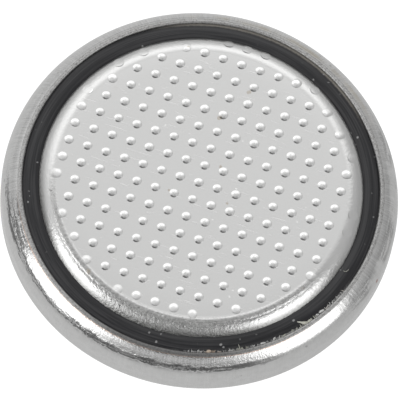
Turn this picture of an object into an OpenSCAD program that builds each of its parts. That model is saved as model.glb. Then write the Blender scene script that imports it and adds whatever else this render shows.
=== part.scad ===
// Lithium coin cell, 20 mm across and 3.2 mm tall.
// Upright on its positive face: the can's flat bottom lies on z = 0, the bumpy negative cap is on top,
// and the Z axis runs through the middle of the cell. All sizes are in millimetres.

/* [Cell] */
// Outer diameter of the can
can_diameter = 20; // [16:0.1:24.5]
// Height from the can's bottom to the tips of the cap's bumps
cell_height = 3.2; // [2.65:0.05:5]

/* [Positive can] */
// Thickness of the can's sheet
can_sheet = 0.25; // [0.2:0.01:0.3]
// Outside radius of the corner between bottom and wall
can_corner = 0.5; // [0.4:0.01:0.6]
// Outside radius of the rim that is crimped over the gasket
crimp_radius = 1.56; // [1.3:0.01:1.88]
// How far the crimp turns inwards from upright, in degrees
crimp_turn = 60; // [50:0.5:72]

/* [Negative cap] */
// Thickness of the cap's sheet
cap_sheet = 0.25; // [0.2:0.01:0.3]
// How far the cap's flat stands above the crimp's circle
cap_rise = 0.2; // [0.16:0.01:0.24]
// Outside radius of the shoulder around the flat
shoulder_radius = 1.15; // [0.95:0.01:1.38]
// How far the shoulder turns down before it dips into the gasket, in degrees
shoulder_turn = 53; // [44:1:62]

/* [Bumps on the cap] */
// Distance from one bump to the next along its row
bump_pitch = 0.98; // [0.8:0.01:1.2]
// Diameter of a bump at its foot
bump_diameter = 0.5; // [0.41:0.01:0.6]
// Height of a bump above the flat
bump_height = 0.09; // [0.075:0.005:0.11]
// Diameter of the small flat that contact has rubbed on each tip
bump_tip = 0.15; // [0.12:0.01:0.18]
// The bump nearest to the cell's axis: its place to the right
bump_start_x = -0.16; // [-0.4:0.01:0.4]
// The bump nearest to the cell's axis: its place to the back
bump_start_y = -0.03; // [-0.4:0.01:0.4]
// How far past the edge of the flat a bump's middle may lie, on the shoulder
bump_overrun = 0.2; // [0:0.01:0.25]

/* [Gasket] */
// Width of the ring of gasket that shows between can and cap
gasket_show = 0.86; // [0.71:0.01:1.04]
// Thickness of the gasket between the cap's skirt and the can
gasket_wall = 0.36; // [0.3:0.01:0.44]
// Thickness of the gasket's foot under the cap's skirt
gasket_foot = 0.35; // [0.29:0.01:0.42]
// How far the foot reaches in past the skirt
foot_reach = 0.4; // [0.3:0.01:0.48]
// How far the squeezed gasket swells out above the lip's inner face
gasket_swell = 0.04; // [0.03:0.005:0.05]
// Film of sealant between gasket and metal, left as a gap
seal_film = 0.01; // [0.005:0.001:0.02]

/* [Inside] */
// Height of the cathode pellet
pellet_height = 1.8; // [1.2:0.05:2.2]
// Chamfer on the pellet's top edge
pellet_chamfer = 0.15; // [0.1:0.01:0.2]
// Gap between the pellet and the cap's inner wall
pellet_gap = 0.12; // [0.1:0.01:0.2]
// Thickness of the collector ring's sheet
ring_sheet = 0.15; // [0.12:0.01:0.18]
// Height of the collector ring
ring_height = 1; // [0.8:0.05:1.2]
// How far the ring's flange reaches in under the pellet
ring_flange = 1; // [0.8:0.05:1.2]
// Gap between the ring and the pellet
ring_gap = 0.02; // [0.01:0.005:0.03]
// Thickness of the separator
separator_sheet = 0.2; // [0.1:0.01:0.24]
// Gap between the separator's edge and the cap's inner wall
separator_gap = 0.1; // [0.08:0.01:0.15]
// Gap between the lithium disc's edge and the cap's rounded shoulder
lithium_gap = 0.12; // [0.1:0.01:0.15]

/* [Hidden] */
$fn = 128;

can_r = can_diameter / 2;
flat_z = cell_height - bump_height;

// The crimp, the gasket around the cap's skirt and the skirt's own top share one centre in section.
crimp_r = can_r - crimp_radius;
crimp_z = flat_z - cap_rise - crimp_radius;
lip_r = crimp_r + (crimp_radius - can_sheet / 2) * cos(crimp_turn);
lip_z = crimp_z + (crimp_radius - can_sheet / 2) * sin(crimp_turn);

// The cap: a flat with a rounded shoulder, on a wider skirt that the gasket grips.
skirt_radius = crimp_radius - can_sheet - gasket_wall;
skirt_r = crimp_r + skirt_radius;
skirt_z = can_sheet + gasket_foot;
flat_r = lip_r - can_sheet / 2 - gasket_show - shoulder_radius * sin(shoulder_turn);
shoulder_z = flat_z - shoulder_radius;

// A bump is a slice of a ball whose middle lies bump_drop under the flat.
bump_r = bump_diameter / 2;
bump_drop = (bump_r * bump_r - bump_tip * bump_tip / 4 - bump_height * bump_height) / (2 * bump_height);
bump_ball = sqrt(bump_r * bump_r + bump_drop * bump_drop);
bump_root = cap_sheet / 4;
bump_field_r = flat_r + bump_overrun;
bump_rows = ceil(bump_field_r / bump_pitch) + 1;

// The stack inside, from the can's floor up to the underside of the cap's flat.
pellet_z = can_sheet;
pellet_top = pellet_z + pellet_height;
separator_top = pellet_top + separator_sheet;
lithium_top = flat_z - cap_sheet;
pellet_r = cap_inside_r(pellet_top) - pellet_gap;
separator_r = cap_inside_r(separator_top) - separator_gap;
lithium_r = flat_r - lithium_gap;

// Inside radius of the cap's upper part at height z
function cap_inside_r(z) =
    flat_r + (z > shoulder_z ? sqrt(pow(shoulder_radius - cap_sheet, 2) - pow(z - shoulder_z, 2))
                             : shoulder_radius - cap_sheet);

// Sections are drawn with X as the radius and Y as the height.

// A block from the axis out to radius r, between two heights
module core(r, z0, z1) {
    translate([0, z0]) square([r, z1 - z0]);
}

module at(r, z) {
    translate([r, z]) children();
}

// A pie slice from level up to the crimp's turn, bigger than anything that it trims
module crimp_slice() {
    reach = 2 * crimp_radius;
    polygon([
        [0, 0],
        [reach, 0],
        [reach * cos(crimp_turn / 2), reach * sin(crimp_turn / 2)] * sqrt(2),
        [reach * cos(crimp_turn), reach * sin(crimp_turn)]
    ]);
}

// A filled cup as wide and deep as the can, drawn in by inset on every side
module can_fill(inset) {
    corner = can_corner - inset;
    core(can_r - can_corner, inset, can_corner);
    intersection() {
        core(can_r - inset, inset, can_corner);
        at(can_r - can_corner, can_corner) circle(corner);
    }
    core(can_r - inset, can_corner, crimp_z);
}

// The crimped rim with its rounded lip; film makes it fatter all round
module crimp_section(film = 0) {
    intersection() {
        at(crimp_r, crimp_z) difference() {
            circle(crimp_radius + film);
            circle(crimp_radius - can_sheet - film);
        }
        at(crimp_r, crimp_z) crimp_slice();
    }
    at(lip_r, lip_z) circle(can_sheet / 2 + film);
}

// Everything under the cap's surface; inset draws it in by a sheet or, below 0, swells it by a film
module cap_fill(inset) {
    core(flat_r, crimp_z, flat_z - inset);
    intersection() {
        at(flat_r, shoulder_z) circle(shoulder_radius - inset);
        core(can_r, shoulder_z, flat_z + shoulder_radius);
    }
    core(flat_r + shoulder_radius - inset, crimp_z, shoulder_z);
    core(crimp_r, crimp_z, crimp_z + skirt_radius - inset);
    intersection() {
        at(crimp_r, crimp_z) circle(skirt_radius - inset);
        core(can_r, crimp_z, flat_z);
    }
    core(skirt_r - inset, skirt_z + min(inset, 0), crimp_z);
}

// Deep-drawn can: flat bottom, upright wall, and a rim crimped over the gasket
module positive_can() {
    color("silver") rotate_extrude() {
        difference() {
            can_fill(0);
            can_fill(can_sheet);
        }
        crimp_section();
    }
}

// One bump, standing on z = 0 and rooted in the sheet
module bump() {
    rotate_extrude($fn = 24) intersection() {
        at(0, -bump_drop) circle(bump_ball, $fn = 96);
        core(bump_r, -bump_root, bump_height);
    }
}

// Stands its child upright on the cap's surface: on the flat, or leaning out on the shoulder
module stand_on_cap(x, y) {
    lean = asin(max(0, norm([x, y]) - flat_r) / shoulder_radius);
    turn = atan2(y, x);
    translate([x, y, flat_z - shoulder_radius * (1 - cos(lean))])
        rotate([0, 0, turn]) rotate([0, lean, 0]) children();
}

// Stamped cap: flat with square rows of bumps, rounded shoulder, and a skirt that the gasket grips
module negative_cap() {
    color("lightgray") {
        rotate_extrude() difference() {
            cap_fill(0);
            cap_fill(cap_sheet);
        }
        for (i = [-bump_rows : bump_rows], j = [-bump_rows : bump_rows])
            let (x = bump_start_x + i * bump_pitch, y = bump_start_y + j * bump_pitch)
                if (norm([x, y]) <= bump_field_r) stand_on_cap(x, y) bump();
    }
}

// Moulded ring: a foot under the skirt, a wall around it, and the squeezed rim that shows on top
module gasket() {
    color("darkslategray") rotate_extrude() difference() {
        union() {
            difference() {
                can_fill(can_sheet + seal_film);
                core(skirt_r - cap_sheet - foot_reach, 0, crimp_z);
            }
            intersection() {
                at(crimp_r, crimp_z) circle(crimp_radius - can_sheet - seal_film);
                core(can_r, crimp_z, cell_height);
            }
            intersection() {
                at(crimp_r, crimp_z) circle(crimp_radius - can_sheet + gasket_swell);
                core(lip_r, crimp_z + skirt_radius, cell_height);
            }
        }
        cap_fill(-seal_film);
        crimp_section(seal_film);
    }
}

// Disc of lithium pressed against the underside of the cap
module lithium_anode() {
    color("slategray") translate([0, 0, separator_top])
        cylinder(r = lithium_r, h = lithium_top - separator_top);
}

// Disc of fibre between the lithium and the pellet, soaked in electrolyte
module separator() {
    color("ivory") translate([0, 0, pellet_top])
        cylinder(r = separator_r, h = separator_sheet);
}

// Pressed black pellet: chamfered on top, and stepped below to sit in the ring
module cathode_pellet() {
    step_r = pellet_r - ring_flange;
    step_z = pellet_z + ring_sheet;
    color("#26272a") rotate_extrude() polygon([
        [0, pellet_z],
        [step_r, pellet_z],
        [step_r, step_z],
        [pellet_r, step_z],
        [pellet_r, pellet_top - pellet_chamfer],
        [pellet_r - pellet_chamfer, pellet_top],
        [0, pellet_top]
    ]);
}

// Stainless collector ring around the pellet, with a flange under its edge
module cathode_ring() {
    inner_r = pellet_r + ring_gap;
    color("darkgray") rotate_extrude() {
        translate([inner_r, pellet_z]) square([ring_sheet, ring_height]);
        translate([pellet_r - ring_flange + ring_gap, pellet_z])
            square([ring_flange + ring_sheet, ring_sheet]);
    }
}

positive_can();
negative_cap();
gasket();
lithium_anode();
separator();
cathode_pellet();
cathode_ring();
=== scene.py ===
"""A lithium coin cell on a pale studio floor.

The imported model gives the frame. The crimped can, the bumpy cap and the gasket are modelled again here,
finer than the frame has them, and the pieces sealed inside keep their frame meshes under better finishes.
Sizes are in millimetres until a mesh is made, and angles are in degrees until they reach Blender.
"""

from __future__ import annotations

import functools
import logging
import math
import random
from collections.abc import Callable, Iterable, Iterator, Sequence
from contextlib import contextmanager
from dataclasses import dataclass, field
from enum import Enum

import bpy
from mathutils import Euler, Matrix, Vector


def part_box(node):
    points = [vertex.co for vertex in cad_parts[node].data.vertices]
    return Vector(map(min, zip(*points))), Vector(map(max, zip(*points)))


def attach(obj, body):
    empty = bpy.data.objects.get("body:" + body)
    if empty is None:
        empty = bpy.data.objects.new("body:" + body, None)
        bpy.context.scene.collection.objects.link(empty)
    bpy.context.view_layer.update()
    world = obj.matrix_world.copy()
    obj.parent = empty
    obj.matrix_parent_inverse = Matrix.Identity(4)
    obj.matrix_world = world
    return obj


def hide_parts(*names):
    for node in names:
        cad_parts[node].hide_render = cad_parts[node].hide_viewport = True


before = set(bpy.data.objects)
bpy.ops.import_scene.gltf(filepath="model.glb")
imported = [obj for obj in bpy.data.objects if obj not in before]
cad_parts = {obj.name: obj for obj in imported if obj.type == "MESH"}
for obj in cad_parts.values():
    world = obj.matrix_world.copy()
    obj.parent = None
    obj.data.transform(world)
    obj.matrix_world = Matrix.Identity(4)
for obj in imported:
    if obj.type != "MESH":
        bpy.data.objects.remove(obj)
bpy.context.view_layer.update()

LOG = logging.getLogger("coin_cell")
MM = 0.001
SEED = 2032
VIEW_TURN = 10.08
VIEW_RISE = 66.48
WELD = 0.0005 * MM

Point = tuple[float, float]
Spot = tuple[float, float, float]
Colour = tuple[float, float, float]
Piece = bpy.types.Object
Material = bpy.types.Material
Socket = bpy.types.NodeSocket
Effect = Callable[[], bpy.types.NodeTree]
Wiring = Callable[["GroupSketch"], tuple[Socket, ...]]


# ---------------------------------------------------------------- modelling helpers


def arc(centre: Point, radius: float, start: float, end: float, steps: int) -> list[Point]:
    """Points along an arc in a piece's section.

    Args:
        centre: The arc's middle, as radius from the axis and height.
        radius: The arc's own radius.
        start: Angle of the first point, from level and outwards.
        end: Angle of the last point.
        steps: How many stretches the arc is cut into.

    Returns:
        The points, both ends included.
    """
    turns = [math.radians(start + (end - start) * i / steps) for i in range(steps + 1)]
    return [(centre[0] + radius * math.cos(t), centre[1] + radius * math.sin(t)) for t in turns]


def between(start: Point, end: Point, steps: int) -> list[Point]:
    """Points spaced evenly along a straight stretch, without its two ends.

    Args:
        start: Where the stretch starts.
        end: Where it ends.
        steps: How many pieces it is cut into.

    Returns:
        The inner points.
    """
    return [
        (start[0] + (end[0] - start[0]) * i / steps, start[1] + (end[1] - start[1]) * i / steps)
        for i in range(1, steps)
    ]


def select_nothing() -> None:
    """Leaves edit mode and clears the selection."""
    if bpy.context.mode != "OBJECT":
        bpy.ops.object.mode_set(mode="OBJECT")
    bpy.ops.object.select_all(action="DESELECT")


def select_only(*pieces: Piece) -> None:
    """Selects pieces and nothing else, and makes the first one active."""
    select_nothing()
    for piece in pieces:
        piece.select_set(True)
    bpy.context.view_layer.objects.active = pieces[0]


@contextmanager
def editing() -> Iterator[None]:
    """Opens the active piece in edit mode with all of it selected, and leaves edit mode afterwards."""
    bpy.ops.object.mode_set(mode="EDIT")
    bpy.ops.mesh.select_all(action="SELECT")
    yield
    bpy.ops.object.mode_set(mode="OBJECT")


def lathe(
    name: str, section: Sequence[Point], steps: int, closed: bool = False, crease: float = 35.0
) -> Piece:
    """Spins a section round the Z axis into a closed mesh.

    Args:
        name: The new object's name.
        section: Points as radius and height. An open section starts and ends on the axis.
        steps: How many steps the turn has.
        closed: Whether the section's last point joins its first.
        crease: Edges that turn by more than this stay sharp.

    Returns:
        The object, shaded smooth, at the origin, with its place in its mesh.
    """
    select_nothing()
    bpy.ops.mesh.primitive_plane_add(size=MM)
    made = bpy.context.object
    made.name = made.data.name = name
    with editing():
        bpy.ops.mesh.merge(type="CENTER")
        here = section[0]
        bpy.ops.transform.translate(value=(here[0] * MM, 0.0, here[1] * MM))
        for point in section[1:]:
            step = ((point[0] - here[0]) * MM, 0.0, (point[1] - here[1]) * MM)
            bpy.ops.mesh.extrude_vertices_move(TRANSFORM_OT_translate={"value": step})
            here = point
        if closed:
            bpy.ops.mesh.select_all(action="SELECT")
            bpy.ops.mesh.remove_doubles(threshold=WELD)
        bpy.ops.mesh.select_all(action="SELECT")
        bpy.ops.mesh.spin(steps=steps, angle=math.tau, center=(0, 0, 0), axis=(0, 0, 1))
        bpy.ops.mesh.select_all(action="SELECT")
        bpy.ops.mesh.remove_doubles(threshold=WELD)
        bpy.ops.mesh.dissolve_degenerate(threshold=WELD / 5)
        bpy.ops.mesh.select_all(action="SELECT")
        bpy.ops.mesh.normals_make_consistent(inside=False)
    smooth(made, crease)
    return made


def smooth(piece: Piece, angle: float) -> None:
    """Shades a piece smooth, apart from its sharp edges.

    Args:
        piece: The piece to shade.
        angle: Edges that turn by more than this stay sharp.
    """
    select_only(piece)
    bpy.ops.object.shade_smooth_by_angle(angle=math.radians(angle))


def join(pieces: Sequence[Piece], name: str) -> Piece:
    """Joins pieces into the first one.

    Args:
        pieces: The objects to join.
        name: The joined object's name.

    Returns:
        The joined object.
    """
    select_only(*pieces)
    bpy.ops.object.join()
    joined = bpy.context.object
    joined.name = joined.data.name = name
    return joined


def settle(piece: Piece) -> None:
    """Moves a piece's place into its mesh, so that its object sits at the origin."""
    piece.data.transform(piece.matrix_world)
    piece.matrix_world = Matrix.Identity(4)


def hand_over(piece: Piece, finish: Material, stands_for: str = "") -> Piece:
    """Gives a new piece its one material and tells the frame about the piece.

    Args:
        piece: The piece.
        finish: Its material.
        stands_for: The frame's node that it replaces, if it does.

    Returns:
        The piece.
    """
    piece.data.materials.clear()
    piece.data.materials.append(finish)
    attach(piece, "root")
    if stands_for:
        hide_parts(stands_for)
    return piece


# ---------------------------------------------------------------- sizes


@dataclass(frozen=True)
class Section:
    """The cell's section, in millimetres: overall sizes from the frame, and the sheet metal's own."""

    can_r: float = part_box("positive_can")[1].x / MM
    stack_top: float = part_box("lithium_anode")[1].z / MM
    skirt_r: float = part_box("negative_cap")[1].x / MM
    skirt_z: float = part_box("negative_cap")[0].z / MM
    can_sheet: float = 0.25
    can_corner: float = 0.5
    crimp_radius: float = 1.56
    crimp_turn: float = 60.0
    cap_sheet: float = 0.25
    cap_rise: float = 0.2
    shoulder_radius: float = 1.15
    shoulder_turn: float = 53.0
    gasket_show: float = 0.86
    gasket_swell: float = 0.04
    foot_reach: float = 0.4
    seal_film: float = 0.01

    @property
    def flat_z(self) -> float:
        """Height of the cap's flat."""
        return self.stack_top + self.cap_sheet

    @property
    def crimp(self) -> Point:
        """Middle of the crimp's arc."""
        return (self.can_r - self.crimp_radius, self.flat_z - self.cap_rise - self.crimp_radius)

    @property
    def lip(self) -> Point:
        """Middle of the rounded lip that ends the crimp."""
        reach = self.crimp_radius - self.can_sheet / 2
        turn = math.radians(self.crimp_turn)
        return (self.crimp[0] + reach * math.cos(turn), self.crimp[1] + reach * math.sin(turn))

    @property
    def flat_r(self) -> float:
        """Radius of the cap's flat."""
        shoulder = self.shoulder_radius * math.sin(math.radians(self.shoulder_turn))
        return self.lip[0] - self.can_sheet / 2 - self.gasket_show - shoulder

    @property
    def shoulder(self) -> Point:
        """Middle of the cap's rounded shoulder."""
        return (self.flat_r, self.flat_z - self.shoulder_radius)

    @property
    def skirt_top(self) -> float:
        """Height at which the cap's shoulder meets its skirt."""
        return self.crimp[1] + self.skirt_r - self.crimp[0]


# ---------------------------------------------------------------- finishes


class NodeSketch:
    """A node tree while it is wired, with a short call for each kind of node used here."""

    def __init__(self, tree: bpy.types.NodeTree, place: Socket | None = None) -> None:
        """Starts on an empty tree."""
        self.tree = tree
        self.place = place
        tree.nodes.clear()

    def add(self, kind: str, **settings: object) -> bpy.types.Node:
        """Adds a node.

        Args:
            kind: The node's type name.
            settings: Its properties.

        Returns:
            The node.
        """
        node = self.tree.nodes.new(kind)
        for key, value in settings.items():
            setattr(node, key, value)
        return node

    def feed(self, socket: Socket, value: object) -> None:
        """Links a socket to another, or sets its plain value."""
        if isinstance(value, Socket):
            self.tree.links.new(value, socket)
        elif socket.type == "RGBA" and len(value) == 3:
            socket.default_value = (*value, 1.0)
        else:
            socket.default_value = value

    def fill(self, sockets: Iterable[Socket], values: Iterable[object]) -> None:
        """Feeds sockets one value each, in order."""
        for socket, value in zip(sockets, values):
            self.feed(socket, value)

    def math(self, operation: str, a: object, b: object = 0.0, c: object = 0.0) -> Socket:
        """Adds a Math node on up to three values and returns its result."""
        node = self.add("ShaderNodeMath", operation=operation)
        self.fill(node.inputs, (a, b, c))
        return node.outputs[0]

    def times(self, first: object, *others: object) -> Socket:
        """Multiplies values, one after another."""
        for other in others:
            first = self.math("MULTIPLY", first, other)
        return first

    def summed(self, value: object, *shares: tuple[object, object]) -> Socket:
        """Adds shares to a value, each given as what is added and its weight."""
        for share, weight in shares:
            value = self.math("MULTIPLY_ADD", share, weight, value)
        return value

    def vector(self, operation: str, a: object, b: object = (0.0, 0.0, 0.0)) -> Socket:
        """Adds a Vector Math node on two vectors and returns its first live result."""
        node = self.add("ShaderNodeVectorMath", operation=operation)
        self.fill(node.inputs, (a, b))
        return node.outputs["Value" if operation in ("LENGTH", "DOT_PRODUCT") else "Vector"]

    def scaled(self, vector: object, scale: object) -> Socket:
        """Scales a vector by a value."""
        node = self.add("ShaderNodeVectorMath", operation="SCALE")
        self.fill((node.inputs[0], node.inputs["Scale"]), (vector, scale))
        return node.outputs["Vector"]

    def combine(self, x: object, y: object, z: object = 0.0) -> Socket:
        """Makes a vector of three values."""
        node = self.add("ShaderNodeCombineXYZ")
        self.fill(node.inputs, (x, y, z))
        return node.outputs[0]

    def split(self, vector: object) -> tuple[Socket, ...]:
        """Takes a vector apart into its three values."""
        node = self.add("ShaderNodeSeparateXYZ")
        self.feed(node.inputs[0], vector)
        return tuple(node.outputs)

    def noise(
        self, vector: object, scale: object = 1.0, detail: float = 2.0, roughness: float = 0.5
    ) -> Socket:
        """Adds a Noise Texture and returns its value, about 0.5 on average."""
        node = self.add("ShaderNodeTexNoise")
        sockets = [node.inputs[key] for key in ("Vector", "Scale", "Detail", "Roughness")]
        self.fill(sockets, (vector, scale, detail, roughness))
        return node.outputs[0]

    def cells(self, vector: object, scale: object = 1.0, feature: str = "F1") -> Socket:
        """Adds a Voronoi Texture and returns the distance to its cells."""
        node = self.add("ShaderNodeTexVoronoi", feature=feature)
        self.fill((node.inputs["Vector"], node.inputs["Scale"]), (vector, scale))
        return node.outputs["Distance"]

    def span(
        self, value: object, low: object, high: object, to_low: float = 0.0, to_high: float = 1.0
    ) -> Socket:
        """Maps a value smoothly from one range to another, and holds it at the ends.

        Args:
            value: What is mapped.
            low: Start of the incoming range.
            high: End of the incoming range.
            to_low: Start of the outgoing range.
            to_high: End of the outgoing range.

        Returns:
            The mapped value.
        """
        node = self.add("ShaderNodeMapRange", interpolation_type="SMOOTHSTEP")
        self.fill(node.inputs, (value, low, high, to_low, to_high))
        return node.outputs[0]

    def zone(self, value: object, start: float, end: float, soft: float) -> Socket:
        """A mask that is 1 between two values and fades out over a soft edge on both sides.

        Args:
            value: What is tested.
            start: Where the zone starts.
            end: Where it ends.
            soft: Width of each soft edge.

        Returns:
            The mask.
        """
        rising = self.span(value, start - soft, start + soft)
        return self.times(rising, self.span(value, end - soft, end + soft, 1.0, 0.0))

    def turn_zone(self, turn: object, start: float, end: float, soft: float = 8.0) -> Socket:
        """A mask over a stretch round the axis, between two turns in degrees that don't pass 180."""
        return self.zone(turn, math.radians(start), math.radians(end), math.radians(soft))

    def dab(self, spot: Spot, size: float) -> Socket:
        """A small ragged mark.

        Args:
            spot: The mark's middle as radius, turn in degrees and height.
            size: Its radius in millimetres.

        Returns:
            The mark's mask.
        """
        radius, turn, height = spot[0] * MM, math.radians(spot[1]), spot[2] * MM
        middle = (radius * math.cos(turn), radius * math.sin(turn), height)
        apart = self.vector("LENGTH", self.vector("SUBTRACT", self.place, middle))
        ragged = self.summed(apart, (self.noise(self.place, 1.5 / (size * MM), 3.0, 0.7), size * MM))
        return self.span(ragged, size * 0.6 * MM, size * 1.3 * MM, 1.0, 0.0)

    def blend(self, factor: object, a: object, b: object) -> Socket:
        """Mixes two colours by a factor."""
        node = self.add("ShaderNodeMix", data_type="RGBA")
        self.fill((node.inputs[0], node.inputs[6], node.inputs[7]), (factor, a, b))
        return node.outputs[2]

    def painted(self, colour: object, *coats: tuple[object, float, object]) -> Socket:
        """Lays coats over a colour, each given as its mask, its strength and its own colour."""
        for mask, strength, coat in coats:
            colour = self.blend(mask if strength == 1.0 else self.times(mask, strength), colour, coat)
        return colour

    def use(self, effect: Effect, **values: object) -> bpy.types.bpy_prop_collection:
        """Places a shared effect.

        Args:
            effect: What gives the effect's node group.
            values: The group's inputs by name, apart from its place.

        Returns:
            The group's outputs, by name.
        """
        node = self.add("ShaderNodeGroup", node_tree=effect())
        for key, value in {"Place": self.place, **values}.items():
            self.feed(node.inputs[key], value)
        return node.outputs

    def carved(self, *reliefs: tuple[object, float, float]) -> Socket:
        """Turns heights from 0 to 1 into a normal, each relief lying on the one before.

        Args:
            reliefs: Each relief's height, how much of it shows, and what a height of 1 stands for
                in millimetres.

        Returns:
            The normal.
        """
        normal = None
        for height, strength, depth in reliefs:
            node = self.add("ShaderNodeBump")
            sockets = [node.inputs[key] for key in ("Height", "Strength", "Distance")]
            self.fill(sockets, (height, strength, depth * MM))
            if normal is not None:
                self.feed(node.inputs["Normal"], normal)
            normal = node.outputs[0]
        return normal


class GroupSketch(NodeSketch):
    """A node group while it is wired. Its inputs are the place and some values."""

    def __init__(self, name: str, inputs: dict[str, float], outputs: Sequence[str]) -> None:
        """Makes the group, its sockets, its entry and its exit."""
        super().__init__(bpy.data.node_groups.new(name, "ShaderNodeTree"))
        sockets = self.tree.interface
        sockets.new_socket("Place", in_out="INPUT", socket_type="NodeSocketVector")
        for label, value in inputs.items():
            socket = sockets.new_socket(label, in_out="INPUT", socket_type="NodeSocketFloat")
            socket.default_value = value
        for label in outputs:
            sockets.new_socket(label, in_out="OUTPUT", socket_type="NodeSocketFloat")
        self.given = self.add("NodeGroupInput").outputs
        self.exit = self.add("NodeGroupOutput")
        self.place = self.given["Place"]

    def around(self, count: object) -> tuple[Socket, ...]:
        """The level direction from the axis to here, as its two parts times a count."""
        level = self.vector("MULTIPLY", self.place, (1.0, 1.0, 0.0))
        return self.split(self.scaled(self.vector("NORMALIZE", level), count))[:2]

    def per_metre(self, size: str) -> Socket:
        """How many of an input's size, in millimetres, go into a metre."""
        return self.math("DIVIDE", 1.0 / MM, self.given[size])


class FinishSketch(NodeSketch):
    """A material while it is wired: one shader, on the piece's own coordinates."""

    def __init__(self, name: str) -> None:
        """Makes the material with its shader and output."""
        self.material = bpy.data.materials.new(name)
        self.material.use_nodes = True
        super().__init__(self.material.node_tree)
        self.place = self.add("ShaderNodeTexCoord").outputs["Object"]
        self.shader = self.add("ShaderNodeBsdfPrincipled")
        output = self.add("ShaderNodeOutputMaterial")
        self.feed(output.inputs["Surface"], self.shader.outputs[0])

    def finish(self, **values: object) -> Material:
        """Feeds the shader.

        Args:
            values: Its inputs by name, with _ for a space.

        Returns:
            The finished material.
        """
        for key, value in values.items():
            self.feed(self.shader.inputs[key.replace("_", " ")], value)
        return self.material


def shared(*outputs: str, **inputs: float) -> Callable[[Wiring], Effect]:
    """Makes a wiring function into a node group of that name, which is wired once, on its first use.

    Args:
        outputs: The names of the group's outputs, which are all values.
        inputs: The group's inputs with their first values, apart from its place.

    Returns:
        The decorator.
    """

    def decorate(wire: Wiring) -> Effect:
        """Wraps one wiring function."""

        @functools.cache
        def group() -> bpy.types.NodeTree:
            """Gives the group."""
            sk = GroupSketch(wire.__name__, inputs, outputs)
            sk.fill(sk.exit.inputs, wire(sk))
            return sk.tree

        return group

    return decorate


@shared("Radius", "Turn", "Height")
def place_round_axis(sk: GroupSketch) -> tuple[Socket, ...]:
    """Place round the cell's axis: radius and height in millimetres, and turn in radians."""
    x, y, z = sk.split(sk.scaled(sk.place, 1.0 / MM))
    return sk.vector("LENGTH", sk.combine(x, y)), sk.math("ARCTAN2", y, x), z


@shared("Height", "Coarse", Count=150.0, Waver=0.6)
def draw_marks(sk: GroupSketch) -> tuple[Socket, ...]:
    """Fine marks that run up the wall and in over the rim, as drawing and crimping leave them."""
    rise = sk.times(sk.split(sk.place)[2], sk.math("DIVIDE", sk.given["Waver"], MM))
    way = sk.combine(*sk.around(sk.given["Count"]), rise)
    return sk.noise(way, 1.0, 2.0, 0.6), sk.noise(way, 0.22, 2.0, 0.6)


@shared("Height", "Coarse", Count=20.0, Length=3.0)
def ring_marks(sk: GroupSketch) -> tuple[Socket, ...]:
    """Fine marks that run round the axis, as turning, rolling and moulding leave them."""
    across = sk.times(sk.use(place_round_axis)["Radius"], sk.given["Count"])
    way = sk.combine(*sk.around(sk.math("DIVIDE", 10.0, sk.given["Length"])), across)
    return sk.noise(way, 1.0, 2.0, 0.6), sk.noise(way, 0.25, 1.0, 0.5)


@shared("Height", Size=1.0)
def shallow_swells(sk: GroupSketch) -> tuple[Socket, ...]:
    """Broad, very shallow unevenness, as pressed sheet keeps, which makes reflections waver."""
    return (sk.noise(sk.place, sk.per_metre("Size"), 1.0, 0.4),)


@shared("Height", "Patch", Size=0.1)
def surface_grain(sk: GroupSketch) -> tuple[Socket, ...]:
    """Fine pits and swells, as on worn or stretched sheet metal and on moulded plastic."""
    count = sk.per_metre("Size")
    fine = sk.noise(sk.place, count, 3.0, 0.6)
    pits = sk.cells(sk.place, sk.times(count, 0.7), "SMOOTH_F1")
    coarse = sk.noise(sk.place, sk.times(count, 0.12), 3.0, 0.55)
    return sk.summed(sk.times(fine, 0.6), (pits, 0.5)), sk.span(coarse, 0.42, 0.62)


@shared("Mask", Amount=0.5)
def hairline_scratches(sk: GroupSketch) -> tuple[Socket, ...]:
    """Faint straight scratches in two crossing directions."""
    masks = []
    for turn, across, along, shift in ((37.0, 14.0, 1.1, 3.1), (128.0, 13.0, 0.8, 8.7)):
        mapping = sk.add("ShaderNodeMapping")
        sockets = [mapping.inputs[key] for key in ("Vector", "Rotation", "Scale", "Location")]
        turned, size = (0.0, 0.0, math.radians(turn)), (along / MM, across / MM, along / MM)
        sk.fill(sockets, (sk.place, turned, size, (shift, shift, 0.0)))
        masks.append(sk.span(sk.noise(mapping.outputs[0], 1.0, 1.0, 0.4), 0.73, 0.78))
    return (sk.times(sk.math("MAXIMUM", *masks), sk.given["Amount"]),)


@shared("Mask", Spacing=1.0, Size=0.1)
def scattered_specks(sk: GroupSketch) -> tuple[Socket, ...]:
    """Small scattered spots of dust or stain, each in a cell of its own."""
    count = sk.per_metre("Spacing")
    warp = sk.math("SUBTRACT", sk.noise(sk.place, sk.times(count, 5.0), 2.0), 0.5)
    edge = sk.summed(sk.cells(sk.place, count), (warp, 0.25))
    share = sk.math("DIVIDE", sk.given["Size"], sk.given["Spacing"])
    spot = sk.span(edge, sk.times(share, 0.5), share, 1.0, 0.0)
    thin = sk.span(sk.noise(sk.place, sk.times(count, 0.6), 1.0), 0.5, 0.58)
    return (sk.times(spot, thin),)


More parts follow.
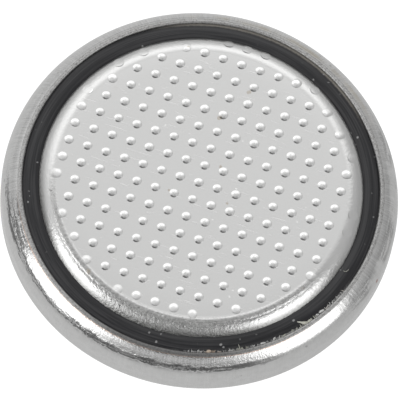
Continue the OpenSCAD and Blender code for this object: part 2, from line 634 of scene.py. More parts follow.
@dataclass(frozen=True)
class CanFinish:
    """Nickel-plated steel of the can: satin, with draw marks, a worn bend and a bare sheared lip."""

    section: Section
    plate: Colour = (0.66, 0.66, 0.655)
    worn: Colour = (0.07, 0.07, 0.07)
    sheared: Colour = (0.24, 0.237, 0.232)
    copper: Colour = (0.52, 0.29, 0.17)
    residue: Colour = (0.5, 0.46, 0.38)
    rust: Colour = (0.3, 0.1, 0.07)
    roughness: float = 0.19
    red_mark: Spot = (9.97, -8.7, 1.75)

    def build(self) -> Material:
        """Wires the material."""
        s = self.section
        sk = FinishSketch("can_steel")
        radius, turn, height = tuple(sk.use(place_round_axis))
        marks = sk.use(draw_marks, Count=170.0, Waver=0.9)
        grain = sk.use(surface_grain, Size=0.1)["Height"]
        coarse = sk.use(surface_grain, Size=0.25)
        fine = sk.use(surface_grain, Size=0.055)["Height"]
        swells = sk.use(shallow_swells, Size=1.6)["Height"]
        rolled = sk.use(ring_marks, Count=11.0, Length=1.6)["Height"]
        dust = sk.use(scattered_specks, Spacing=0.8, Size=0.1)["Mask"]

        bend_low, bend_high = (
            s.crimp[1] + s.crimp_radius * math.cos(math.radians(slope)) for slope in (60.0, 48.0)
        )
        wander = sk.summed(sk.math("ADD", height, -0.15), (coarse["Height"], 0.3))
        struck = sk.turn_zone(turn, -162.0, -50.0, 10.0)
        bend = sk.times(sk.zone(wander, bend_low, bend_high, 0.05), struck)
        on_rim = sk.span(height, bend_low, bend_high)
        over = sk.span(height, s.crimp[1], s.crimp[1] + 0.1)
        lip_end = s.lip[0] + s.can_sheet / 2 * math.cos(math.radians(s.crimp_turn))
        frayed = sk.summed(sk.math("ADD", radius, -0.025), (marks["Height"], 0.05))
        lip = sk.times(sk.span(frayed, lip_end - 0.01, lip_end + 0.015, 1.0, 0.0), over)
        edge = sk.times(sk.zone(frayed, lip_end + 0.005, lip_end + 0.03, 0.008), over)
        rim = sk.times(edge, sk.turn_zone(turn, -150.0, -38.0, 14.0))
        scored = sk.times(sk.zone(frayed, lip_end + 0.1, lip_end + 0.125, 0.012), over)
        scored = sk.times(scored, sk.turn_zone(turn, 66.0, 142.0, 10.0))
        near_lip = sk.times(sk.zone(frayed, lip_end, lip_end + 0.28, 0.06), over)
        dirty = sk.times(sk.turn_zone(turn, 45.0, 112.0), near_lip, coarse["Patch"])
        scuff = sk.times(sk.turn_zone(turn, -156.0, -136.0, 4.0), on_rim)
        scuff = sk.times(scuff, sk.span(coarse["Height"], 0.3, 0.5))
        rubbed = sk.times(sk.zone(height, bend_low - 0.25, bend_high + 0.1, 0.1), coarse["Patch"])
        rubbed = sk.times(rubbed, sk.turn_zone(turn, -22.0, 42.0, 10.0))
        scuff = sk.math("MAXIMUM", scuff, sk.times(rubbed, 0.6))
        strands = sk.summed(sk.times(fine, 0.4), (rolled, 0.6))
        patchy = sk.times(sk.math("MAXIMUM", bend, scuff), sk.span(strands, 0.43, 0.53))

        drawn = sk.math("MULTIPLY_ADD", on_rim, 0.75, 0.25)
        tone = sk.span(marks["Height"], 0.3, 0.7, -0.13, 0.05)
        broad = sk.span(coarse["Height"], 0.2, 0.7, -0.04, 0.03)
        level = sk.math("ADD", sk.math("MULTIPLY_ADD", tone, drawn, 1.0), broad)
        torn = sk.blend(sk.span(fine, 0.3, 0.6, 0.0, 0.5), self.sheared, self.plate)
        dulled = sk.times(sk.turn_zone(turn, -108.0, -55.0, 14.0), 0.62)
        colour = sk.painted(
            sk.scaled(self.plate, level),
            (patchy, 0.8, self.worn),
            (dirty, 0.6, self.residue),
            (scored, 0.5, self.worn),
            (rim, 0.7, self.copper),
            (lip, 1.0, sk.blend(dulled, torn, self.worn)),
            (dust, 0.35, self.worn),
            (sk.dab(self.red_mark, 0.2), 0.85, self.rust),
        )

        rough = sk.math("MULTIPLY_ADD", marks["Height"], 0.08, self.roughness - 0.04)
        rough = sk.summed(rough, (patchy, 0.16), (lip, 0.3), (dirty, 0.25))
        crazed = sk.times(sk.turn_zone(turn, -165.0, -45.0, 12.0), on_rim)
        normal = sk.carved(
            (swells, 0.5, 0.012),
            (sk.times(marks["Height"], drawn), 0.6, 0.004),
            (sk.times(marks["Coarse"], drawn), 0.5, 0.007),
            (sk.times(fine, crazed), 0.8, 0.016),
            (sk.times(grain, sk.math("MULTIPLY_ADD", bend, 0.6, 0.2)), 0.9, 0.03),
            (sk.times(rolled, bend), 0.8, 0.02),
        )
        return sk.finish(Metallic=1.0, Base_Color=colour, Roughness=rough, Normal=normal)


@dataclass(frozen=True)
class CapFinish:
    """Nickel-plated steel of the cap: a fine satin flat, and a shoulder that is grainy on one side, with
    painted shade darkening its outer edge towards the gasket on the near side.
    """

    section: Section
    plate: Colour = (0.665, 0.665, 0.66)
    rubbed: Colour = (0.83, 0.83, 0.825)
    worn_tip: Colour = (0.58, 0.58, 0.575)
    dull: Colour = (0.23, 0.23, 0.225)
    stain: Colour = (0.4, 0.34, 0.26)
    dust: Colour = (0.9, 0.9, 0.89)
    roughness: float = 0.24
    stains: tuple[tuple[Spot, float], ...] = (
        ((1.3, 61.7, 3.11), 0.17), ((1.67, -22.6, 3.11), 0.13), ((1.71, -145.9, 3.11), 0.12),
    )
    nick: Spot = (7.6, -157.0, 3.06)

    def build(self) -> Material:
        """Wires the material."""
        s = self.section
        sk = FinishSketch("cap_steel")
        radius, turn, height = tuple(sk.use(place_round_axis))
        grain = sk.use(surface_grain, Size=0.1)["Height"]
        satin = sk.use(surface_grain, Size=0.05)["Height"]
        marks = sk.use(draw_marks, Count=120.0, Waver=1.2)["Height"]
        lines = sk.use(hairline_scratches, Amount=0.5)["Mask"]
        spots = sk.use(scattered_specks, Spacing=2.1, Size=0.11)["Mask"]
        powder = sk.use(scattered_specks, Spacing=0.75, Size=0.07)["Mask"]
        swells = sk.use(shallow_swells, Size=1.3)["Height"]

        shoulder = sk.span(radius, s.flat_r - 0.05, s.flat_r + 0.35)
        drawn = sk.span(radius, s.flat_r + 0.3, s.flat_r + 0.8)
        stretched = sk.turn_zone(turn, -112.0, -60.0, 12.0)
        start = sk.zone(radius, s.flat_r + 0.1, s.flat_r + 0.35, 0.08)
        start = sk.times(start, sk.turn_zone(turn, -160.0, -25.0, 12.0))
        mottle = sk.math("MAXIMUM", sk.times(stretched, shoulder), start)
        scratch = sk.times(lines, sk.math("SUBTRACT", 1.0, shoulder))
        tips = sk.span(height, s.flat_z + 0.004, s.flat_z + 0.02)
        pressed = sk.span(height, s.flat_z + 0.036, s.flat_z + 0.05)
        pressed = sk.times(pressed, sk.span(satin, 0.2, 0.6, 0.9, 0.2))
        etched = sk.times(mottle, sk.span(grain, 0.15, 0.6, 0.95, 0.45))
        # Painted shade: the shoulder's colour darkens towards the gasket on the near side, where cap and
        # gasket meet.
        ragged_radius = sk.summed(sk.math("ADD", radius, -0.08), (grain, 0.16))
        gasket_shade = sk.span(ragged_radius, s.flat_r + 0.56, s.flat_r + 0.88, 0.0, 0.9)
        gasket_shade = sk.times(gasket_shade, sk.turn_zone(turn, -165.0, -15.0, 12.0))
        nick = sk.dab(self.nick, 0.13)
        colour = sk.painted(
            self.plate,
            (tips, 1.0, self.rubbed),
            (pressed, 1.0, self.worn_tip),
            (etched, 1.0, self.dull),
            # painted shade next to the gasket
            (gasket_shade, 1.0, self.dull),
            (nick, 0.6, self.dull),
            (spots, 0.5, self.stain),
            *((sk.dab(spot, size), 0.6, self.stain) for spot, size in self.stains),
            (powder, 0.7, self.dust),
            (scratch, 0.5, self.dust),
        )

        rough = sk.math("MULTIPLY_ADD", satin, 0.06, self.roughness - 0.03)
        rough = sk.summed(rough, (shoulder, -0.06), (tips, -0.07), (mottle, 0.1), (scratch, 0.2))
        rugged = sk.summed(sk.times(shoulder, 0.24), (mottle, 0.62))
        normal = sk.carved(
            (sk.times(swells, shoulder), 0.5, 0.014),
            (satin, 0.35, 0.003),
            (sk.times(grain, rugged), 0.8, 0.05),
            (sk.times(satin, rugged), 0.8, 0.02),
            (sk.times(marks, drawn), 0.5, 0.006),
            (scratch, 0.5, 0.004),
            (nick, 0.8, 0.02),
        )
        return sk.finish(Metallic=1.0, Base_Color=colour, Roughness=rough, Normal=normal)


@dataclass(frozen=True)
class GasketFinish:
    """Dark moulded plastic, streaked round the ring and lightly dusted."""

    section: Section
    dark: Colour = (0.004, 0.004, 0.006)
    light: Colour = (0.032, 0.032, 0.034)
    dust: Colour = (0.4, 0.4, 0.4)
    smear: Colour = (0.3, 0.28, 0.25)
    red: Colour = (0.35, 0.02, 0.03)
    red_speck: Spot = (8.22, 88.7, 2.78)

    def build(self) -> Material:
        """Wires the material."""
        lip_end = self.section.lip[0] - self.section.can_sheet / 2
        sk = FinishSketch("gasket_plastic")
        radius, turn, _ = tuple(sk.use(place_round_axis))
        rings = sk.use(ring_marks, Count=16.0, Length=3.0)
        grain = sk.use(surface_grain, Size=0.07)["Height"]
        spots = sk.use(scattered_specks, Spacing=0.42, Size=0.075)["Mask"]
        tone = sk.summed(sk.times(rings["Height"], 0.6), (rings["Coarse"], 0.5))
        ragged = sk.summed(radius, (grain, -0.12))
        greasy = sk.times(
            sk.span(ragged, lip_end - 0.3, lip_end - 0.16), sk.turn_zone(turn, 48.0, 118.0, 10.0)
        )
        fringe = sk.times(
            sk.span(ragged, lip_end - 0.23, lip_end - 0.17),
            sk.turn_zone(turn, -78.0, -18.0, 4.0),
            sk.span(sk.noise(sk.place, 9.0 / MM, 2.0), 0.42, 0.56),
        )
        colour = sk.painted(
            sk.blend(sk.span(tone, 0.42, 0.68), self.dark, self.light),
            (greasy, 0.8, self.smear),
            (fringe, 0.7, self.dust),
            (spots, 0.6, self.dust),
            (sk.dab(self.red_speck, 0.09), 1.0, self.red),
        )
        return sk.finish(
            Specular_IOR_Level=0.42,
            Base_Color=colour,
            Roughness=sk.span(rings["Height"], 0.3, 0.7, 0.36, 0.5),
            Normal=sk.carved((rings["Height"], 0.6, 0.006), (grain, 0.4, 0.005)),
        )


@dataclass(frozen=True)
class FlashFinish:
    """Pale crumbs and threads of dried sealant: whitish, in places beige or a little green."""

    white: Colour = (0.6, 0.6, 0.59)
    beige: Colour = (0.42, 0.34, 0.27)
    green: Colour = (0.48, 0.48, 0.42)

    def build(self) -> Material:
        """Wires the material."""
        sk = FinishSketch("dried_sealant")
        grain = sk.use(surface_grain, Size=0.06)["Height"]
        tint = sk.noise(sk.place, 0.45 / MM, 1.0)
        warm = sk.blend(sk.span(tint, 0.5, 0.6), self.white, self.beige)
        return sk.finish(
            Base_Color=sk.blend(sk.span(tint, 0.36, 0.44, 1.0, 0.0), warm, self.green),
            Roughness=sk.span(grain, 0.2, 0.8, 0.5, 0.75),
            Normal=sk.carved((grain, 0.6, 0.01)),
        )


class Filling(Enum):
    """The pieces sealed inside, which keep the frame's own meshes."""

    LITHIUM = "lithium_anode"
    FIBRE = "separator"
    POWDER = "cathode_pellet"
    STAINLESS = "cathode_ring"


@dataclass(frozen=True)
class FillingFinish:
    """Finish of one piece inside: two tones that a grain mixes, and ring marks where it was turned."""

    filling: Filling
    light: Colour
    dark: Colour
    metallic: float
    roughness: float
    grain_size: float
    relief: float
    ringed: float = 0.0

    @classmethod
    def of(cls, filling: Filling) -> FillingFinish:
        """The finish that belongs to a piece."""
        looks = {
            Filling.LITHIUM: ((0.6, 0.61, 0.62), (0.42, 0.43, 0.45), 1.0, 0.5, 0.3, 0.01, 0.2),
            Filling.FIBRE: ((0.88, 0.87, 0.83), (0.72, 0.7, 0.64), 0.0, 0.9, 0.08, 0.02, 0.0),
            Filling.POWDER: ((0.08, 0.08, 0.085), (0.02, 0.02, 0.022), 0.0, 0.85, 0.06, 0.015, 0.15),
            Filling.STAINLESS: ((0.66, 0.66, 0.66), (0.5, 0.5, 0.5), 1.0, 0.3, 0.12, 0.004, 0.7),
        }
        return cls(filling, *looks[filling])

    def dress(self) -> None:
        """Wires the material and puts it on the frame's piece."""
        sk = FinishSketch(self.filling.value + "_finish")
        grain = sk.use(surface_grain, Size=self.grain_size)["Height"]
        rings = sk.use(ring_marks, Count=12.0, Length=6.0)["Height"]
        mixed = sk.summed(sk.times(rings, self.ringed), (grain, 1.0 - self.ringed))
        material = sk.finish(
            Metallic=self.metallic,
            Base_Color=sk.blend(sk.span(mixed, 0.2, 0.75), self.dark, self.light),
            Roughness=sk.span(mixed, 0.2, 0.75, self.roughness - 0.06, self.roughness + 0.06),
            Normal=sk.carved((mixed, 0.7, self.relief)),
        )
        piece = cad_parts[self.filling.value]
        piece.data.materials.clear()
        piece.data.materials.append(material)


# ---------------------------------------------------------------- studio


def level_axes() -> tuple[Spot, Spot]:
    """The level directions to the viewer's right and towards the viewer."""
    turn = math.radians(VIEW_TURN)
    return (math.cos(turn), math.sin(turn), 0.0), (math.sin(turn), -math.cos(turn), 0.0)


@dataclass(frozen=True)
class Softbox:
    """A flat lamp that faces the cell, placed by direction."""

    name: str
    turn: float
    rise: float
    width: float
    height: float
    glow: float
    distance: float = 400.0

    def build(self) -> None:
        """Adds the lamp. Its turn counts from the viewer's right, towards the back."""
        data = bpy.data.lights.new(self.name, "AREA")
        data.shape = "RECTANGLE"
        data.size, data.size_y = self.width * MM, self.height * MM
        data.energy = self.glow * 4.0 * data.size * data.size_y
        lamp = bpy.data.objects.new(self.name, data)
        bpy.context.scene.collection.objects.link(lamp)
        turn, rise = math.radians(self.turn + VIEW_TURN), math.radians(self.rise)
        away = Vector((math.cos(turn) * math.cos(rise), math.sin(turn) * math.cos(rise), math.sin(rise)))
        lamp.location = away * self.distance * MM
        lamp.rotation_mode = "QUATERNION"
        lamp.rotation_quaternion = away.to_track_quat("Z", "Y")
        lamp.visible_camera = False


@dataclass
class Studio:
    """Camera, lamps, surrounding light and floor."""

    distance: float = 318.0
    frame_width: float = 20.0
    roll: float = 9.08
    aim_right: float = -0.095
    aim_up: float = -0.87
    sensor: float = 36.0
    near_side: tuple[Point, ...] = (
        (0.0, 0.24), (10.0, 0.24), (21.0, 0.4), (27.0, 0.62), (33.0, 0.8), (39.0, 0.65), (46.0, 0.35),
        (53.0, 0.14), (59.0, 0.05), (67.0, 0.05), (72.0, 0.22), (78.0, 0.45), (84.0, 0.56), (90.0, 0.62),
    )
    far_side: tuple[Point, ...] = (
        (0.0, 0.58), (15.0, 0.6), (30.0, 0.72), (50.0, 0.79), (67.0, 0.79), (90.0, 0.63),
    )
    back_glow: tuple[Point, ...] = (
        (0.0, 0.0), (12.0, 0.08), (27.0, 0.38), (41.0, 0.68), (55.0, 0.62), (65.0, 0.1), (68.0, 0.0),
    )
    right_gap: Colour = (0.62, 0.62, 0.62)
    black: Colour = (0.0, 0.0, 0.0)
    floor_radius: float = 1500.0
    floor_sink: float = 0.005
    floor_grey: Colour = (0.15, 0.15, 0.15)
    floor_light: Colour = (1.0, 1.0, 1.0)
    boxes: list[Softbox] = field(
        default_factory=lambda: [
            Softbox("left_softbox", 212.0, 27.7, 275.0, 342.0, 1.8),
            Softbox("right_softbox", 328.0, 28.3, 262.0, 368.0, 1.3),
        ]
    )

    def camera(self, target: Vector) -> None:
        """Places the camera at its turn, rise and roll.

        Args:
            target: The middle of the cap's flat.
        """
        data = bpy.data.cameras.new("camera")
        data.sensor_width = self.sensor
        data.lens = self.sensor * self.distance / self.frame_width
        data.clip_start, data.clip_end = 0.01, 10.0
        camera = bpy.data.objects.new("camera", data)
        bpy.context.scene.collection.objects.link(camera)
        turn, rise = math.radians(VIEW_TURN), math.radians(VIEW_RISE)
        back = Vector((math.sin(turn) * math.cos(rise), -math.cos(turn) * math.cos(rise), math.sin(rise)))
        camera.rotation_mode = "QUATERNION"
        level = (-back).to_track_quat("-Z", "Y")
        facing = level @ Euler((0.0, 0.0, math.radians(self.roll))).to_quaternion()
        camera.rotation_quaternion = facing
        aim = facing @ Vector((self.aim_right * MM, self.aim_up * MM, 0.0))
        camera.location = target + back * self.distance * MM + aim
        bpy.context.scene.camera = camera

    @staticmethod
    def column(sk: NodeSketch, rise: Socket, stops: Sequence[Point]) -> Socket:
        """Brightness of the surroundings up one side of the room.

        Args:
            sk: The world's sketch.
            rise: Height of the direction, from 0 at the horizon to 1 overhead.
            stops: Angles above the horizon, each with its brightness.

        Returns:
            The brightness.
        """
        ramp = sk.add("ShaderNodeValToRGB")
        sk.feed(ramp.inputs[0], rise)
        marks = ramp.color_ramp.elements
        while len(marks) < len(stops):
            marks.new(0.5)
        for mark, (angle, glow) in zip(marks, stops):
            mark.position = angle / 90.0
            mark.color = (glow, glow, glow, 1.0)
        return ramp.outputs[0]

    def world(self) -> None:
        """Lights the surroundings: pale above and behind, with dark gaps on the viewer's side."""
        world = bpy.data.worlds.new("studio")
        bpy.context.scene.world = world
        world.use_nodes = True
        sk = NodeSketch(world.node_tree)
        way = sk.add("ShaderNodeTexCoord").outputs["Generated"]
        x, y, z = sk.split(way)
        length = sk.math("MAXIMUM", sk.vector("LENGTH", sk.combine(x, y)), 0.05)
        rightwards, towards = level_axes()
        facing, right = (
            sk.math("DIVIDE", sk.vector("DOT_PRODUCT", way, axis), length) for axis in (towards, rightwards)
        )
        rise = sk.math("DIVIDE", sk.math("ARCSINE", z), math.pi / 2)
        lifted = sk.times(sk.span(right, 0.3, 0.75), 0.55)
        near = sk.blend(lifted, self.column(sk, rise, self.near_side), self.right_gap)
        far = self.column(sk, rise, self.far_side)
        mixed = sk.blend(sk.span(facing, -0.08, 0.45), far, near)
        shaded = sk.blend(sk.span(right, 0.2, 0.95, 0.0, 0.24), mixed, self.black)
        behind = sk.math("ADD", sk.times(facing, -1.0), sk.times(right, -0.25))
        glow = sk.times(self.column(sk, rise, self.back_glow), sk.span(behind, 0.45, 0.95))
        background = sk.add("ShaderNodeBackground")
        sk.feed(background.inputs["Color"], sk.vector("ADD", shaded, sk.combine(glow, glow, glow)))
        output = sk.add("ShaderNodeOutputWorld")
        sk.feed(output.inputs["Surface"], background.outputs[0])

    def floor(self) -> None:
        """Lays a wide pale floor under the cell."""
        select_nothing()
        bpy.ops.mesh.primitive_circle_add(vertices=96, radius=self.floor_radius * MM, fill_type="NGON")
        floor = bpy.context.object
        floor.name = "floor"
        floor.data.transform(Matrix.Translation((0.0, 0.0, -self.floor_sink * MM)))
        sk = FinishSketch("pale_floor")
        seen = sk.add("ShaderNodeLightPath").outputs["Is Camera Ray"]
        radius = sk.use(place_round_axis)["Radius"]
        across, ahead = (
            sk.vector("DOT_PRODUCT", sk.place, tuple(part / MM for part in axis)) for axis in level_axes()
        )
        dimming = sk.times(
            sk.span(radius, 12.0, 26.0, 0.0, 0.85),
            sk.span(ahead, 2.0, 10.0),
            sk.span(across, 0.0, 11.0, 1.0, 0.2),
        )
        glow = sk.times(sk.span(across, -2.0, 16.0, 0.55, 0.47), sk.math("SUBTRACT", 1.0, dimming))
        material = sk.finish(
            Base_Color=self.floor_grey,
            Roughness=0.9,
            Specular_IOR_Level=0.1,
            Emission_Color=self.floor_light,
            Emission_Strength=sk.math("MAXIMUM", seen, glow),
        )
        floor.data.materials.append(material)

    def build(self, target: Vector) -> None:
        """Makes the whole studio.

        Args:
            target: The middle of the cap's flat.
        """
        self.camera(target)
        for box in self.boxes:
            box.build()
        self.world()
        self.floor()
        bpy.context.scene.view_settings.view_transform = "Standard"


# ---------------------------------------------------------------- the cell


@dataclass
class PositiveCan:
    """The deep-drawn can with its crimped rim."""

    section: Section
    steps: int = 360
    lip_square: float = 0.8
    lip_spare: float = 0.07

    def outline(self) -> list[Point]:
        """The can's section, from the axis under the floor, up over the rim and back inside."""
        s = self.section
        corner = (s.can_r - s.can_corner, s.can_corner)
        inner = s.can_corner - s.can_sheet
        points = [(0.0, 0.0), *between((0.0, 0.0), (corner[0], 0.0), 6)]
        points += arc(corner, s.can_corner, -90.0, 0.0, 10)
        points += between((s.can_r, s.can_corner), (s.can_r, s.crimp[1]), 6)
        points += arc(s.crimp, s.crimp_radius, 0.0, s.crimp_turn, 30)
        points += self.lip_end()
        points += arc(s.crimp, s.crimp_radius - s.can_sheet, s.crimp_turn, 0.0, 16)[1:]
        points += between((s.can_r - s.can_sheet, s.crimp[1]), (s.can_r - s.can_sheet, s.can_corner), 3)
        points += arc(corner, inner, 0.0, -90.0, 5)
        return [*points, (0.0, s.can_sheet)]

    def lip_end(self) -> list[Point]:
        """The lip's sheared end: squarer than a half circle, and a little longer."""
        s = self.section
        half, turn = s.can_sheet / 2, math.radians(s.crimp_turn)
        points = []
        for i in range(1, 13):
            around = math.pi * i / 12
            out = half * math.copysign(abs(math.cos(around)) ** self.lip_square, math.cos(around))
            on = (half + self.lip_spare) * math.sin(around) ** self.lip_square
            x = s.lip[0] + out * math.cos(turn) - on * math.sin(turn)
            points.append((x, s.lip[1] + out * math.sin(turn) + on * math.cos(turn)))
        return points

    def build(self, finish: Material) -> Piece:
        """Models and dresses the can."""
        can = lathe("can_shell", self.outline(), self.steps)
        return hand_over(can, finish, "positive_can")


@dataclass
class NegativeCap:
    """The stamped cap with its square rows of bumps."""

    section: Section
    steps: int = 360
    pitch: float = 0.98
    first: Point = (-0.16, -0.03)
    tool_middle: Point = (0.05, 0.3)
    tool_r: float = 7.66
    full_r: float = 6.95
    faintest: float = 0.2
    bump_steps: int = 16
    bump_section: tuple[Point, ...] = (
        (0.278, -0.0135), (0.225, 0.013), (0.15, 0.041), (0.075, 0.0545), (0.0, 0.056),
    )

    def outline(self) -> list[Point]:
        """The cap's section, from the axis on top, down over the skirt and back under the flat."""
        s = self.section
        shoulder_r, skirt_radius = s.shoulder_radius, s.skirt_r - s.crimp[0]
        meet = math.degrees(math.asin((s.skirt_top - s.shoulder[1]) / shoulder_r))
        inner, skirt_inner = shoulder_r - s.cap_sheet, skirt_radius - s.cap_sheet
        points = [(0.0, s.flat_z), *between((0.0, s.flat_z), (s.flat_r, s.flat_z), 8)]
        points += arc(s.shoulder, shoulder_r, 90.0, meet, 22)
        points += arc(s.crimp, skirt_radius, 90.0, 0.0, 12)
        points += [(s.skirt_r, s.skirt_z), (s.skirt_r - s.cap_sheet, s.skirt_z)]
        points += arc(s.crimp, skirt_inner, 0.0, 90.0, 8)
        points += [(s.flat_r + inner, s.crimp[1] + skirt_inner)]
        points += arc(s.shoulder, inner, 0.0, 90.0, 8)
        return [*points, (0.0, s.flat_z - s.cap_sheet)]

    def places(self) -> list[Point]:
        """Where the bumps stand: every crossing of the rows inside the tool's circle."""
        reach = math.ceil(self.tool_r / self.pitch) + 1
        steps = range(-reach, reach + 1)
        x, y = self.first
        spots = [(x + i * self.pitch, y + j * self.pitch) for i in steps for j in steps]
        return [spot for spot in spots if self.far_out(spot) <= self.tool_r]

    def far_out(self, spot: Point) -> float:
        """How far a place lies from the middle of the tool, which struck a little off the axis."""
        return math.hypot(spot[0] - self.tool_middle[0], spot[1] - self.tool_middle[1])

    def strength(self, spot: Point) -> float:
        """How high a bump came out there: 1 over the flat, and less where the sheet falls away."""
        past = (self.far_out(spot) - self.full_r) / (self.tool_r - self.full_r)
        return 1.0 - (1.0 - self.faintest) * min(1.0, max(0.0, past)) ** 0.8

    def bumps(self) -> list[Piece]:
        """Models one bump and copies it to every place, fading out down the shoulder."""
        s = self.section
        profile = [(0.0, self.bump_section[0][1]), *self.bump_section]
        first = lathe("bump", profile, self.bump_steps, crease=80.0)
        rng = random.Random(SEED)
        copies = []
        for x, y in self.places():
            far = math.hypot(x, y)
            past = max(0.0, far - s.flat_r)
            tilt = math.asin(past / s.shoulder_radius)
            drop = s.shoulder_radius * (1.0 - math.cos(tilt))
            size = rng.uniform(0.97, 1.03)
            grow = Matrix.Diagonal((size, size, self.strength((x, y)) * rng.uniform(0.94, 1.0), 1.0))
            around = math.atan2(y, x)
            turned, back = (Matrix.Rotation(angle, 4, "Z") for angle in (around, -around))
            lean = turned @ Matrix.Rotation(tilt, 4, "Y") @ back
            put = Matrix.Translation((x * MM, y * MM, (s.flat_z - drop) * MM))
            mesh = first.data.copy()
            mesh.transform(put @ lean @ grow)
            copy = bpy.data.objects.new("bump", mesh)
            bpy.context.scene.collection.objects.link(copy)
            copies.append(copy)
        bpy.data.objects.remove(first)
        return copies

    def build(self, finish: Material) -> Piece:
        """Models and dresses the cap."""
        shell = lathe("cap_shell", self.outline(), self.steps)
        return hand_over(join([shell, *self.bumps()], "cap_shell"), finish, "negative_cap")


@dataclass
class Gasket:
    """The moulded ring between can and cap."""

    section: Section
    steps: int = 360

    def outline(self) -> list[Point]:
        """The ring's section, as a closed loop from the showing rim's inner edge."""
        s = self.section
        film = s.seal_film
        outer = s.crimp_radius - s.can_sheet - film
        swell = s.crimp_radius - s.can_sheet + s.gasket_swell
        corner_r = s.can_corner - s.can_sheet - film
        corner = (s.can_r - s.can_corner, s.can_corner)
        grip = s.skirt_r - s.crimp[0] + film
        top = self.meet(swell, s.shoulder_radius + film)
        lip = self.lip_contact(swell)
        points = arc(s.crimp, swell, top, lip, 18)
        points += arc(s.crimp, outer, s.crimp_turn - 6.0, 0.0, 12)
        points += arc(corner, corner_r, 0.0, -90.0, 4)
        foot_r = s.skirt_r - s.cap_sheet - s.foot_reach
        foot_z = s.can_sheet + film
        points += [(foot_r, foot_z), (foot_r, s.skirt_z - film), (s.skirt_r + film, s.skirt_z - film)]
        points += arc(s.crimp, grip, 0.0, 90.0, 12)
        points += arc(s.shoulder, s.shoulder_radius + film, 12.0, 30.0, 4)
        return [*points, points[0]]

    def meet(self, swell: float, reach: float) -> float:
        """The angle on the showing rim's arc at which it meets the cap's shoulder.

        Args:
            swell: Radius of the rim's arc, about the crimp's middle.
            reach: Radius of the shoulder's arc.

        Returns:
            The angle about the crimp's middle, in degrees.
        """
        s = self.section
        dx, dz = s.shoulder[0] - s.crimp[0], s.shoulder[1] - s.crimp[1]
        apart = math.hypot(dx, dz)
        along = (swell**2 - reach**2 + apart**2) / (2 * apart)
        bend = math.degrees(math.acos(along / swell))
        return math.degrees(math.atan2(dz, dx)) - bend

    def lip_contact(self, swell: float) -> float:
        """The angle on the showing rim's arc at which it meets the can's lip, in degrees."""
        s = self.section
        middle, half = s.crimp_radius - s.can_sheet / 2, s.can_sheet / 2
        away = (middle**2 + swell**2 - half**2) / (2 * middle * swell)
        return s.crimp_turn + math.degrees(math.acos(away))

    def build(self, finish: Material) -> Piece:
        """Models and dresses the gasket."""
        ring = lathe("gasket_ring", self.outline(), self.steps, closed=True)
        return hand_over(ring, finish, "gasket")


@dataclass(frozen=True)
class Crumb:
    """One larger crumb or thread at the lip, placed by radius and turn round the axis."""

    radius: float
    turn: float
    length: float
    width: float
    thick: float
    spin: float
    curl: float = 0.0


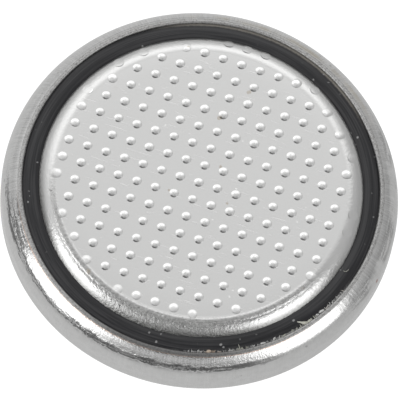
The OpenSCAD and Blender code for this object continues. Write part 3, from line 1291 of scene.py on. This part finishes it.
@dataclass
class EdgeFlash:
    """Dried sealant that was squeezed out along the lip: many slivers, and a few crumbs and threads."""

    section: Section
    slivers: int = 90
    reach: tuple[float, float] = (-76.0, -19.0)
    crumbs: tuple[Crumb, ...] = (
        Crumb(8.89, -36.2, 0.36, 0.17, 0.12, 20.0),
        Crumb(8.95, -34.6, 0.3, 0.16, 0.12, 60.0),
        Crumb(8.76, -37.3, 0.36, 0.08, 0.05, 10.0),
        Crumb(8.92, -69.4, 0.27, 0.19, 0.13, 35.0),
        Crumb(8.95, -66.0, 0.24, 0.08, 0.07, 15.0),
        Crumb(8.93, -61.9, 0.18, 0.08, 0.06, 80.0),
        Crumb(8.93, -51.4, 0.26, 0.1, 0.08, 30.0),
        Crumb(8.93, -47.6, 0.24, 0.09, 0.08, 100.0),
        Crumb(8.95, -44.3, 0.26, 0.08, 0.07, 60.0),
        Crumb(8.92, -29.2, 0.32, 0.13, 0.1, 50.0),
        Crumb(8.94, -31.0, 0.24, 0.1, 0.08, 10.0),
    )
    threads: tuple[Crumb, ...] = (
        Crumb(8.87, -59.3, 0.3, 0.028, 0.028, 118.0, 25.0),
        Crumb(8.95, -72.2, 0.34, 0.03, 0.03, 5.0, 150.0),
        Crumb(9.0, -25.8, 0.42, 0.045, 0.045, 40.0, 190.0),
        Crumb(8.5, -13.3, 0.3, 0.022, 0.022, 30.0, 110.0),
    )

    def ground(self, radius: float) -> float:
        """Height of the gasket's rim at a radius."""
        s = self.section
        swell = s.crimp_radius - s.can_sheet + s.gasket_swell
        return s.crimp[1] + math.sqrt(swell**2 - (radius - s.crimp[0]) ** 2)

    def stand(self, piece: Piece, crumb: Crumb, lift: float) -> None:
        """Turns a piece to its bearing and moves it to its place, in its mesh.

        Args:
            piece: The piece, made about the origin.
            crumb: Where it goes.
            lift: How far its middle lies over the gasket.
        """
        turn = math.radians(crumb.turn)
        x, y = crumb.radius * math.cos(turn), crumb.radius * math.sin(turn)
        put = Matrix.Translation((x * MM, y * MM, (self.ground(crumb.radius) + lift) * MM))
        piece.data.transform(put @ Matrix.Rotation(math.radians(crumb.spin), 4, "Z"))

    def sliver(self, rng: random.Random) -> Piece:
        """Models one thin upright sliver against the lip."""
        select_nothing()
        bpy.ops.mesh.primitive_cone_add(
            vertices=5, radius1=rng.uniform(0.02, 0.05) * MM, radius2=0.005 * MM,
            depth=rng.uniform(0.1, 0.26) * MM,
        )
        made = bpy.context.object
        with editing():
            bpy.ops.transform.resize(value=(rng.uniform(0.8, 2.4), 0.7, 1.0))
        lean = Euler((math.radians(rng.uniform(-50, 50)), math.radians(rng.uniform(-75, -30)), 0.0))
        made.data.transform(lean.to_matrix().to_4x4())
        turn = rng.uniform(*self.reach)
        edge = self.section.lip[0] - self.section.can_sheet / 2
        self.stand(made, Crumb(edge - rng.uniform(0.05, 0.12), turn, 0.0, 0.0, 0.0, turn), 0.05)
        return made

    def crumb(self, crumb: Crumb, seed: int) -> Piece:
        """Models one ragged crumb."""
        select_nothing()
        bpy.ops.mesh.primitive_ico_sphere_add(subdivisions=3, radius=0.5 * MM)
        made = bpy.context.object
        with editing():
            bpy.ops.transform.vertex_random(offset=0.11 * MM, seed=seed)
            bpy.ops.transform.resize(value=(crumb.length, crumb.width, crumb.thick))
        self.stand(made, crumb, crumb.thick * 0.3)
        return made

    def thread(self, crumb: Crumb) -> Piece:
        """Models one curled thread."""
        select_nothing()
        radius, length = crumb.width / 2 * MM, crumb.length * MM
        bpy.ops.mesh.primitive_cylinder_add(vertices=8, radius=radius, depth=length)
        made = bpy.context.object
        with editing():
            bpy.ops.mesh.subdivide(number_cuts=9)
        curl = made.modifiers.new("curl", "SIMPLE_DEFORM")
        curl.deform_method, curl.deform_axis, curl.angle = "BEND", "X", math.radians(crumb.curl)
        select_only(made)
        bpy.ops.object.modifier_apply(modifier=curl.name)
        made.data.transform(Matrix.Rotation(math.radians(78.0), 4, "Y"))
        self.stand(made, crumb, 0.05)
        return made

    def build(self, finish: Material) -> Piece:
        """Models and dresses all of it as one piece.

        Args:
            finish: Its material.

        Returns:
            The piece.
        """
        rng = random.Random(SEED)
        made = [self.sliver(rng) for _ in range(self.slivers)]
        made += [self.crumb(crumb, SEED + i) for i, crumb in enumerate(self.crumbs)]
        made += [self.thread(crumb) for crumb in self.threads]
        flash = join(made, "edge_flash")
        settle(flash)
        smooth(flash, 50.0)
        return hand_over(flash, finish)


def main() -> None:
    """Builds the studio and the cell."""
    logging.basicConfig(level=logging.INFO, format="%(name)s: %(message)s")
    section = Section()
    Studio().build(Vector((0.0, 0.0, section.flat_z * MM)))
    for filling in Filling:
        FillingFinish.of(filling).dress()
        LOG.info("%s: dressed", filling.value)
    for piece in (
        PositiveCan(section).build(CanFinish(section).build()),
        NegativeCap(section).build(CapFinish(section).build()),
        Gasket(section).build(GasketFinish(section).build()),
        EdgeFlash(section).build(FlashFinish().build()),
    ):
        LOG.info("%s: %d faces", piece.name, len(piece.data.polygons))


if __name__ == "__main__":
    main()
